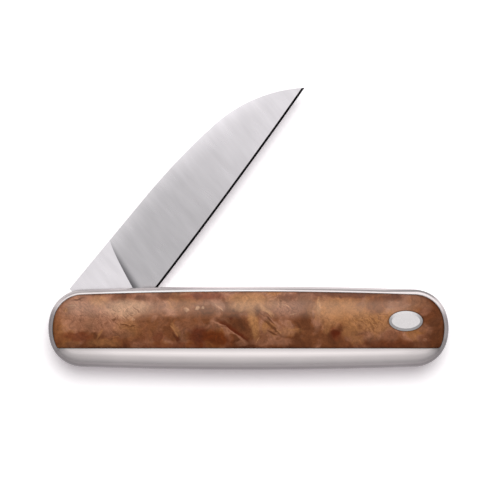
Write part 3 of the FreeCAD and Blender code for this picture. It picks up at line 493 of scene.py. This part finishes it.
# scales: burl wood, sanded fine and oiled, clouds of tan and red brown with small dark worm lines
woodScales = {
    "tones": {
        "paleTan": "#BF9171",
        "lightTan": "#BC8860",
        "goldenTan": "#AE794E",
        "pinkTan": "#A8755B",
        "orangeTan": "#AA7245",
        "dustyBrown": "#9A6850",
        "mauveBrown": "#90644B",
        "brown": "#7E4C2F",
        "redBrown": "#783E25",
        "deepRed": "#6B300F",
        "darkBrown": "#5E341D",
        "darkest": "#5A220A",
    },
    "ground": 8.0,  # size of the burl's patches, which are bent
    "groundStops": [(0.30, "darkBrown"), (0.43, "brown"), (0.52, "pinkTan"), (0.62, "orangeTan"),
                    (0.75, "redBrown")],
    "bend": 5.0,
    "bendReach": (7.0, 7.0, 3.0),
    # the front scale's soft clouds, each laid over those before it:
    # middle x and y, half length and half height in mm, turn in degrees, tone and strength
    "figure": [
        (-38.0, 4.0, 5.5, 4.0, 0, "pinkTan", 0.85),
        (-40.3, 4.0, 1.8, 2.4, 20, "brown", 0.4),
        (-42.6, 1.5, 1.2, 3.5, 0, "brown", 0.7),
        (-37.8, 6.4, 1.4, 0.25, 10, "darkBrown", 0.7),
        (-34.6, 1.7, 2.2, 1.5, 55, "mauveBrown", 0.7),
        (-38.3, -1.8, 3.8, 1.2, -4, "redBrown", 0.85),
        (-43.0, -2.0, 1.2, 1.6, 60, "brown", 0.5),
        (-33.6, -0.5, 2.4, 0.4, 58, "darkBrown", 0.4),
        (-30.6, 1.5, 3.6, 3.4, 0, "pinkTan", 0.8),
        (-26.4, 4.2, 5.2, 2.2, 0, "paleTan", 0.9),
        (-22.3, 0.8, 4.3, 3.4, 35, "brown", 0.8),
        (-33.0, 6.2, 2.2, 1.4, 0, "lightTan", 0.6),
        (-26.8, -0.3, 2.9, 2.6, 0, "goldenTan", 0.55),
        (-20.0, 5.0, 1.6, 1.4, 0, "brown", 0.3),
        (-23.5, 6.9, 1.7, 0.8, 0, "darkBrown", 0.7),
        (-18.6, 7.0, 1.6, 1.0, 0, "brown", 0.95),
        (-17.2, 5.0, 2.0, 1.6, 0, "pinkTan", 0.4),
        (-17.0, 7.3, 4.6, 0.8, 0, "darkBrown", 0.6),
        (-15.0, -1.2, 1.8, 2.4, 0, "darkBrown", 0.5),
        (-21.0, 2.3, 0.9, 0.5, 30, "pinkTan", 0.7),
        (-12.7, 2.6, 3.2, 3.0, 0, "brown", 0.8),
        (-16.1, 0.0, 2.0, 0.5, -58, "goldenTan", 0.45),
        (-15.6, -2.2, 0.5, 0.8, 10, "darkest", 0.7),
        (-27.2, -2.6, 6.2, 1.2, 0, "redBrown", 0.35),
        (-31.8, -3.2, 3.6, 1.1, 0, "goldenTan", 0.6),
        (-37.0, 0.0, 2.0, 0.9, 0, "pinkTan", 0.5),
        (-28.0, -1.2, 2.4, 1.0, 0, "dustyBrown", 0.5),
        (-40.0, -3.7, 3.5, 0.8, 0, "darkBrown", 0.6),
        (-20.0, -2.2, 1.4, 1.6, 0, "redBrown", 0.75),
        (-10.2, 7.1, 5.0, 1.0, 0, "redBrown", 0.8),
        (-11.6, 5.9, 3.2, 0.9, 0, "brown", 0.6),
        (-6.5, 5.2, 1.8, 0.9, -42, "pinkTan", 0.9),
        (-1.5, 4.9, 3.0, 1.2, 0, "lightTan", 0.6),
        (-0.2, 6.7, 4.4, 1.5, 0, "goldenTan", 0.9),
        (-2.9, 2.0, 3.4, 1.7, -48, "darkBrown", 0.75),
        (-11.0, -1.7, 3.0, 2.3, 0, "darkest", 0.9),
        (-6.8, -2.0, 3.4, 1.9, -20, "deepRed", 0.95),
        (-3.7, -0.1, 4.2, 0.7, -33, "darkest", 0.85),
        (-15.0, -3.9, 10.0, 0.9, 0, "deepRed", 0.65),
        (-6.5, 0.8, 1.6, 1.4, 0, "darkBrown", 0.45),
        (-9.0, 0.5, 2.5, 1.2, 0, "darkBrown", 0.35),
        (-1.5, -3.2, 1.5, 0.6, 0, "pinkTan", 0.5),
        (5.0, -0.4, 2.5, 0.8, 0, "brown", 0.3),
        (-4.2, -0.6, 4.6, 0.24, -31, "pinkTan", 0.5),  # the long slanting fibre
        (1.2, 1.4, 3.8, 1.2, -78, "goldenTan", 0.9),
        (3.3, 2.5, 3.2, 0.4, -36, "darkBrown", 0.3),
        (5.4, 2.4, 4.2, 0.35, -41, "brown", 0.55),
        (5.3, 0.2, 3.1, 0.4, -45, "darkBrown", 0.75),
        (3.9, 4.2, 2.4, 0.5, -38, "lightTan", 0.75),
        (8.6, 4.9, 4.2, 2.8, 0, "dustyBrown", 0.85),
        (7.7, 6.8, 2.4, 0.8, 0, "darkBrown", 0.6),
        (12.9, 2.4, 1.4, 1.7, 0, "darkBrown", 0.65),
        (14.3, 3.6, 0.4, 1.7, 0, "darkBrown", 0.6),
        (9.3, -0.7, 3.0, 1.0, 0, "goldenTan", 0.35),
        (5.6, -3.0, 4.8, 0.9, 0, "pinkTan", 0.8),
        (3.2, -1.8, 1.4, 1.6, 0, "brown", 0.5),
        (10.7, -2.2, 1.0, 1.6, -35, "darkBrown", 0.65),
        (20.0, 4.2, 6.2, 3.2, 0, "orangeTan", 0.9),
        (24.6, 1.2, 3.6, 2.0, 0, "goldenTan", 0.75),
        (28.8, 0.6, 3.0, 1.8, 0, "goldenTan", 0.7),
        (22.6, -0.7, 2.0, 1.3, 0, "goldenTan", 0.55),
        (17.3, 0.3, 1.2, 1.4, 0, "goldenTan", 0.45),
        (19.4, -1.2, 1.3, 1.4, 0, "redBrown", 0.7),
        (19.4, -1.0, 0.9, 0.9, 0, "darkest", 0.95),  # the small dark knot
        (26.0, 5.4, 2.6, 1.4, 0, "brown", 0.4),
        (23.0, 7.5, 9.0, 0.8, 0, "darkBrown", 0.8),
        (29.5, 5.2, 1.8, 1.8, 0, "brown", 0.8),
        (31.9, 6.9, 3.0, 1.0, 0, "darkBrown", 0.9),
        (35.6, 5.0, 3.6, 1.5, 8, "brown", 0.75),
        (33.6, 2.2, 2.2, 1.7, 0, "brown", 0.55),
        (38.6, 6.2, 3.0, 1.1, 0, "brown", 0.75),
        (40.4, 4.0, 2.6, 3.0, 0, "redBrown", 0.85),
        (41.2, 0.6, 1.4, 2.6, 0, "brown", 0.7),
        (15.8, -2.6, 2.2, 1.2, 0, "brown", 0.7),
        (31.0, -3.4, 8.4, 0.9, 0, "redBrown", 0.55),
        (27.5, -3.0, 2.6, 1.1, 0, "darkBrown", 0.5),
        (31.4, -1.5, 2.0, 1.5, 0, "dustyBrown", 0.6),
        (39.6, -2.2, 1.8, 1.4, 0, "redBrown", 0.45),
        (40.6, 1.6, 3.2, 5.0, 0, "darkBrown", 0.75),
        (37.5, -3.6, 5.5, 0.9, 0, "darkBrown", 0.6),
        (38.8, 0.3, 2.2, 1.1, -25, "dustyBrown", 0.55),
        (39.3, 3.8, 1.6, 1.0, 40, "dustyBrown", 0.5),
        (24.0, -2.6, 1.6, 1.1, 0, "goldenTan", 0.5),
        (41.4, 4.6, 2.8, 1.5, -50, "darkBrown", 0.6),
        (41.8, -1.6, 1.2, 2.2, 0, "darkBrown", 0.5),
        (38.2, 6.7, 3.0, 1.1, -12, "darkBrown", 0.65),
        (2.5, 5.8, 5.5, 1.7, 0, "lightTan", 0.35),
        (18.4, 2.3, 3.0, 1.7, 0, "lightTan", 0.3),
        (13.8, 5.5, 0.8, 1.5, 0, "brown", 0.5),
        (-13.7, 4.1, 0.45, 0.4, 0, "paleTan", 1.0),  # three pale flecks of the figure, painted as glints of light
        (-11.3, 4.5, 0.6, 0.4, 30, "paleTan", 1.0),
        (-10.1, 4.6, 0.3, 0.3, 0, "paleTan", 0.9),
    ],
    # the same for the narrow strokes and the forms with crisp edges, drawn over the clouds
    "strokes": [
        (-37.7, 6.4, 1.1, 0.13, -12, "darkBrown", 0.8),
        (-39.0, 5.1, 1.2, 0.16, 0, "paleTan", 0.6),
        (-40.5, 4.1, 0.6, 0.5, 0, "orangeTan", 0.6),
        (-29.8, 2.0, 0.4, 0.3, 0, "darkBrown", 0.7),
        (-33.0, -1.2, 1.4, 0.25, 60, "goldenTan", 0.6),
        (-25.0, 4.4, 0.75, 0.12, -30, "brown", 0.8),
        (-24.5, 3.9, 0.5, 0.12, -70, "brown", 0.8),
        (-26.0, 3.0, 0.6, 0.12, -20, "brown", 0.8),
        (-27.4, 0.8, 1.1, 0.14, -6, "darkBrown", 0.8),
        (-25.7, 0.55, 0.8, 0.13, 12, "darkBrown", 0.8),
        (-29.6, -1.9, 1.2, 0.12, 8, "goldenTan", 0.6),
        (-25.6, 2.0, 0.5, 0.35, 0, "paleTan", 0.7),
        (-21.6, 0.2, 4.2, 2.0, 40, "brown", 0.35),
        (-29.7, 6.8, 0.8, 0.6, 0, "brown", 0.5),
        (-15.0, 4.6, 1.5, 2.8, 0, "brown", 0.55),
        (-16.8, 0.1, 0.9, 0.22, -50, "goldenTan", 0.8),
        (-16.1, -1.0, 1.1, 0.2, -55, "goldenTan", 0.7),
        (-16.3, -1.7, 1.0, 0.25, -55, "darkBrown", 0.8),
        (-7.0, 5.1, 0.9, 0.12, -45, "paleTan", 0.8),
        (-6.1, 4.3, 0.8, 0.12, -40, "paleTan", 0.8),
        (-2.8, 0.8, 4.0, 1.7, -36, "darkBrown", 0.35),
        (-4.1, 3.4, 1.2, 0.7, -20, "brown", 0.5),
        (-3.9, 2.2, 0.4, 0.35, 0, "darkest", 0.7),
        (-3.2, -0.6, 3.9, 0.35, -34, "darkest", 0.7),
        (-6.6, 1.1, 1.8, 0.2, -20, "pinkTan", 0.75),
        (-3.8, -0.6, 1.6, 0.2, -38, "pinkTan", 0.75),
        (-1.5, -2.4, 1.5, 0.28, -45, "pinkTan", 0.8),
        (1.2, 0.2, 3.0, 0.6, -82, "goldenTan", 0.65),
        (2.1, -2.5, 0.9, 0.15, 60, "lightTan", 0.7),
        (2.6, 3.5, 1.7, 0.18, -36, "darkBrown", 0.6),
        (4.8, 1.9, 1.5, 0.22, -45, "darkBrown", 0.8),
        (1.8, 3.2, 0.8, 0.15, -50, "brown", 0.7),
        (4.6, 3.2, 1.2, 0.2, -50, "lightTan", 0.6),
        (5.4, -1.0, 1.5, 0.22, -30, "darkBrown", 0.8),
        (6.7, -0.7, 0.8, 0.15, -45, "lightTan", 0.6),
        (3.6, 0.1, 0.7, 1.3, 0, "goldenTan", 0.5),
        (7.2, 6.1, 0.35, 0.3, 0, "darkBrown", 0.6),
        (10.3, 4.2, 0.8, 0.15, 20, "brown", 0.5),
        (5.9, 6.8, 0.9, 0.15, 30, "pinkTan", 0.6),
        (8.3, 5.1, 1.2, 0.15, -15, "paleTan", 0.5),
        (9.9, 3.2, 0.9, 0.15, 10, "paleTan", 0.4),
        (14.4, 3.4, 0.25, 1.0, 0, "pinkTan", 0.6),
        (9.9, -0.2, 1.6, 0.2, 8, "goldenTan", 0.6),
        (10.5, -1.7, 0.5, 0.9, 0, "darkBrown", 0.6),
        (11.8, -1.1, 0.5, 0.5, 0, "darkBrown", 0.5),
        (12.3, 6.8, 2.1, 1.2, 0, "mauveBrown", 0.7),
        (15.6, 4.9, 0.5, 2.2, 0, "lightTan", 0.6),
        (28.3, 5.2, 2.4, 2.0, 0, "brown", 0.85),
        (31.0, 4.3, 1.3, 0.5, 60, "pinkTan", 0.5),
        (35.0, 5.0, 1.3, 0.4, 20, "pinkTan", 0.4),
        (30.0, 3.1, 1.3, 0.15, 0, "brown", 0.6),
        (38.2, 5.7, 2.6, 1.3, -20, "mauveBrown", 0.5),
        (39.1, -2.5, 0.5, 0.4, 0, "pinkTan", 0.7),
    ],
    "figureHeight": 9.5,
    "figureDepth": 6.0,  # the front scale's figure doesn't reach the rear one
    "figureEdge": (1.35, 0.63),  # a cloud's reach in half sizes, and the share of it that is soft
    "strokeEdge": (1.2, 0.5),
    "ripple": 1.6,  # the outlines wander in ripples of this size
    "figureDrift": (1.5, 1.5, 0.0),
    "strokeDrift": (0.5, 0.5, 0.0),
    "swirl": 2.4,  # curled fibres lighten and darken the wood in fine swirls
    "swirlCurl": 2.2,
    "swirlSpan": (0.32, 0.68),
    "swirlTone": (0.78, 1.22),
    "worm": (2.0, 0.62, 0.62),  # length, spacing and depth of the worm lines
    "wormTurn": -48.0,
    "wormCurl": 0.5,
    "wormWidth": (0.06, 0.01),  # in the noise's own values: where a line ends and is full
    "wormZones": [(-29.0, 2.0, 8.0, 4.5), (26.5, 1.0, 6.0, 3.0), (8.5, 4.5, 5.0, 3.0),
                  (-38.0, 4.0, 5.0, 3.0)],  # middle and half sizes
    "wormDepth": 40.0,  # these zones go through both scales
    "wormFade": (1.1, 0.5),  # in half sizes: where a zone ends and is full
    "wormStrength": 0.5,
    "pore": 0.3,  # pores are near 0.1 mm, drawn coarser so that they show
    "poreCurl": 1.2,
    "poreTone": (0.83, 1.17),
    "shade": (3.2, -5.0),  # painted shade: the wood is drawn darker and redder towards its lower edge
    "shadeColour": "#CBC0B3",
    "sheenBand": (1.6, 4.8, 5.2, 7.3),  # painted sheen: a band of the wood is drawn paler and greyer: it starts, is full, fades and ends
    "sheenEnds": (-42.5, -39.0, 33.0, 39.5),
    "sheenColour": "#55514B",
    "edgeSheen": (6.2, 7.4),  # painted sheen: the rounded top edge is drawn greyer: start and full
    "edgeSheenColour": "#27272B",
    "seam": (-0.55, -0.05),  # painted shade: the wood is drawn darker in the seam along the steel: start and full
    "lowSeam": (-3.95, -4.3),
    "shieldSeam": (1.13, 1.03),  # the same round the shield, in shares of its half size
    "seamShadeTone": 0.5,
    "roughness": (0.36, 0.5),
    "bumpHeight": 0.02,
    "bumpStrength": 0.3,
}


def makeBurl(look):
    material, tree, shader, place = startMaterial("oiledBurlWood", {"IOR": 1.5, "Specular IOR Level": 0.1})
    tones = look["tones"]
    spot = addNode(tree, "SeparateXYZ", {0: place}).outputs
    height = spot["Y"]
    aside = addNode(tree, "Math", {0: spot["X"]}, operation="ABSOLUTE").outputs[0]
    bend = addNode(tree, "TexNoise", {"Vector": place, "Scale": 1 / look["bend"], "Detail": 3.0})
    ripple = addNode(tree, "TexNoise", {"Vector": place, "Scale": 1 / look["ripple"], "Detail": 2.0})
    moved = []
    for noise, reach in ((bend, "bendReach"), (ripple, "figureDrift"), (ripple, "strokeDrift")):
        swing = addNode(tree, "VectorMath", {0: noise.outputs["Color"], 1: [noiseMiddle] * 3},
                        operation="SUBTRACT")
        moved.append(addNode(tree, "VectorMath", {0: swing.outputs[0], 1: look[reach], 2: place},
                             operation="MULTIPLY_ADD").outputs[0])
    bent, drifted, nudged = moved
    ground = addNode(tree, "TexNoise", {"Vector": bent, "Scale": 1 / look["ground"],
                                        "Detail": 4.0}).outputs[0]
    stops = [(share, tones[name]) for share, name in look["groundStops"]]
    colour = addNode(tree, "ValToRGB", {"Fac": ground}, stops).outputs[0]
    # the drawn figure
    layers = [(drifted, look["figure"], look["figureEdge"]), (nudged, look["strokes"], look["strokeEdge"])]
    for wandering, forms, (outside, softShare) in layers:
        for x, y, halfX, halfY, turn, tone, strength in forms:
            blob = addNode(tree, "TexGradient", {"Vector": wandering}, gradient_type="SPHERICAL")
            fit = blob.texture_mapping
            fit.vector_type = "TEXTURE"
            fit.translation = (x, y, look["figureHeight"])
            fit.rotation = (0, 0, math.radians(turn))
            fit.scale = (halfX * outside, halfY * outside, look["figureDepth"] * outside)
            soft = addNode(tree, "MapRange", {"Value": blob.outputs[1], "From Max": softShare,
                                              "To Max": strength}, interpolation_type="SMOOTHSTEP").outputs[0]
            colour = addNode(tree, "Mix", {"Factor": soft, 6: colour, 7: linearColour(tones[tone])},
                             data_type="RGBA").outputs[2]
    # curled fibres
    swirl = addNode(tree, "TexNoise", {"Vector": drifted, "Scale": 1 / look["swirl"], "Detail": 4.0,
                                       "Distortion": look["swirlCurl"]}).outputs[0]
    low, high = look["swirlSpan"]
    dark, light = look["swirlTone"]
    sheen = addNode(tree, "MapRange", {"Value": swirl, "From Min": low, "From Max": high,
                                       "To Min": dark, "To Max": light}).outputs[0]
    colour = addNode(tree, "VectorMath", {0: colour, "Scale": sheen}, operation="SCALE").outputs[0]
    # worm lines follow the level lines of a noise, inside their zones
    slanted = addNode(tree, "Mapping", {"Vector": drifted, "Scale": look["worm"],
                                        "Rotation": (0, 0, math.radians(look["wormTurn"]))},
                      vector_type="TEXTURE").outputs[0]
    worm = addNode(tree, "TexNoise", {"Vector": slanted, "Scale": 1.0, "Detail": 1.0,
                                      "Distortion": look["wormCurl"]}).outputs[0]
    level = addNode(tree, "Math", {0: worm, 1: noiseMiddle}, operation="SUBTRACT").outputs[0]
    away = addNode(tree, "Math", {0: level}, operation="ABSOLUTE").outputs[0]
    outside, full = look["wormWidth"]
    line = addNode(tree, "MapRange", {"Value": away, "From Min": outside, "From Max": full}).outputs[0]
    outside, full = look["wormFade"]
    zone = 0.0
    for x, y, halfX, halfY in look["wormZones"]:
        inside = addNode(tree, "Mapping", {"Vector": drifted, "Location": (x, y, 0),
                                           "Scale": (halfX, halfY, look["wormDepth"])}, vector_type="TEXTURE")
        far = addNode(tree, "VectorMath", {0: inside.outputs[0]}, operation="LENGTH").outputs["Value"]
        soft = addNode(tree, "MapRange", {"Value": far, "From Min": outside, "From Max": full,
                                          "To Max": look["wormStrength"]}).outputs[0]
        zone = addNode(tree, "Math", {0: zone, 1: soft}, operation="MAXIMUM").outputs[0]
    lined = addNode(tree, "Math", {0: line, 1: zone}, operation="MULTIPLY").outputs[0]
    colour = addNode(tree, "Mix", {"Factor": lined, 6: colour, 7: linearColour(tones["darkBrown"])},
                     data_type="RGBA").outputs[2]
    pore = addNode(tree, "TexNoise", {"Vector": place, "Scale": 1 / look["pore"], "Detail": 2.0,
                                      "Distortion": look["poreCurl"]}).outputs[0]
    dark, light = look["poreTone"]
    speck = addNode(tree, "MapRange", {"Value": pore, **noiseSpan, "To Min": dark,
                                       "To Max": light}).outputs[0]
    colour = addNode(tree, "VectorMath", {0: colour, "Scale": speck}, operation="SCALE").outputs[0]
    # painted shade below, a painted sheen in one band, and a painted grey sheen at the top edge
    start, full = look["shade"]
    shade = addNode(tree, "MapRange", {"Value": height, "From Min": start, "From Max": full}).outputs[0]
    pale = addNode(tree, "Math", {0: addBand(tree, spot["X"], look["sheenEnds"], "SMOOTHSTEP"),
                                  1: addBand(tree, height, look["sheenBand"], "SMOOTHSTEP")},
                   operation="MULTIPLY").outputs[0]
    start, full = look["edgeSheen"]
    grey = addNode(tree, "MapRange", {"Value": height, "From Min": start, "From Max": full}).outputs[0]
    for share, name, blend in ((shade, "shadeColour", "MULTIPLY"), (pale, "sheenColour", "ADD"),
                               (grey, "edgeSheenColour", "ADD")):
        colour = addNode(tree, "Mix", {"Factor": share, 6: colour, 7: linearColour(look[name])},
                         data_type="RGBA", blend_type=blend).outputs[2]
    # painted shade in the seams along the steel and round the shield
    gap = addWoodGap(tree, aside, height)
    low, high = [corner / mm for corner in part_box("shield")]
    half = (high - low) / 2
    half.z = look["figureDepth"]
    around = addNode(tree, "Mapping", {"Vector": place, "Location": (low + high) / 2, "Scale": half},
                     vector_type="TEXTURE").outputs[0]
    ring = addNode(tree, "VectorMath", {0: around}, operation="LENGTH").outputs["Value"]
    for value, (start, full) in ((gap, look["seam"]), (height, look["lowSeam"]), (ring, look["shieldSeam"])):
        dark = addNode(tree, "MapRange", {"Value": value, "From Min": start, "From Max": full,
                                          "To Min": 1.0, "To Max": look["seamShadeTone"]}).outputs[0]
        colour = addNode(tree, "VectorMath", {0: colour, "Scale": dark}, operation="SCALE").outputs[0]
    low, high = look["roughness"]
    rough = addNode(tree, "MapRange", {"Value": pore, **noiseSpan, "To Min": high, "To Max": low}).outputs[0]
    rise = addNode(tree, "Math", {0: pore, 1: lined}, operation="SUBTRACT").outputs[0]
    bump = addNode(tree, "Bump", {"Height": rise, "Strength": look["bumpStrength"],
                                  "Distance": look["bumpHeight"] * mm}).outputs[0]
    setInputs(tree, shader, {"Base Color": colour, "Roughness": rough, "Normal": bump})
    return material


dress(makeBurl(woodScales), "front_scale", "rear_scale")


# small metal pieces: the metal's own colour, with tool marks drawn coarser than they are so that they show
smallMetals = {
    "polishedShieldSteel": {  # a bright and nearly even gleam
        "colour": "#BCB9B9", "roughness": (0.18, 0.28), "mark": 0.5,
        "on": ["shield", "shield_pins"]},
    "brushedSpringSteel": {  # a soft grey sheen
        "colour": "#BDB9B8", "roughness": (0.3, 0.42), "mark": 0.25,
        "on": ["back_spring", "spring_centre_pin"]},
    "turnedFastenerSteel": {  # small broken highlights
        "colour": "#B4B1B0", "roughness": (0.25, 0.38), "mark": 0.2,
        "on": ["pivot_barrel", "front_pivot_screw", "rear_pivot_screw", "rear_post",
               "front_post_screw", "rear_post_screw"]},
    "hardenedBushingSteel": {  # darker and smooth
        "colour": "#A9A6A6", "roughness": (0.2, 0.32), "mark": 0.2,
        "on": ["pivot_bushing"]},
    "drawnBrass": {  # a warm yellow
        "colour": "#C9A75A", "roughness": (0.28, 0.4), "mark": 0.2,
        "on": ["front_scale_dowels", "rear_scale_dowels"]},
    "lappedPhosphorBronze": {  # a reddish gold
        "colour": "#B98554", "roughness": (0.25, 0.38), "mark": 0.2,
        "on": ["front_pivot_washer", "rear_pivot_washer"]},
}
markTone = (0.94, 1.06)  # how far the marks lighten and darken these metals


def makeSmallMetal(name, look):
    material, tree, shader, place = startMaterial(name, {"Metallic": 1.0})
    marks = addNode(tree, "TexNoise", {"Vector": place, "Scale": 1 / look["mark"], "Detail": 3.0}).outputs[0]
    low, high = look["roughness"]
    rough = addNode(tree, "MapRange", {"Value": marks, **noiseSpan, "To Min": low, "To Max": high}).outputs[0]
    dark, light = markTone
    tone = addNode(tree, "MapRange", {"Value": marks, **noiseSpan, "To Min": dark,
                                      "To Max": light}).outputs[0]
    colour = addNode(tree, "VectorMath", {0: linearColour(look["colour"])[:3], "Scale": tone},
                     operation="SCALE").outputs[0]
    setInputs(tree, shader, {"Base Color": colour, "Roughness": rough})
    return material


for name, look in smallMetals.items():
    dress(makeSmallMetal(name, look), *look["on"])
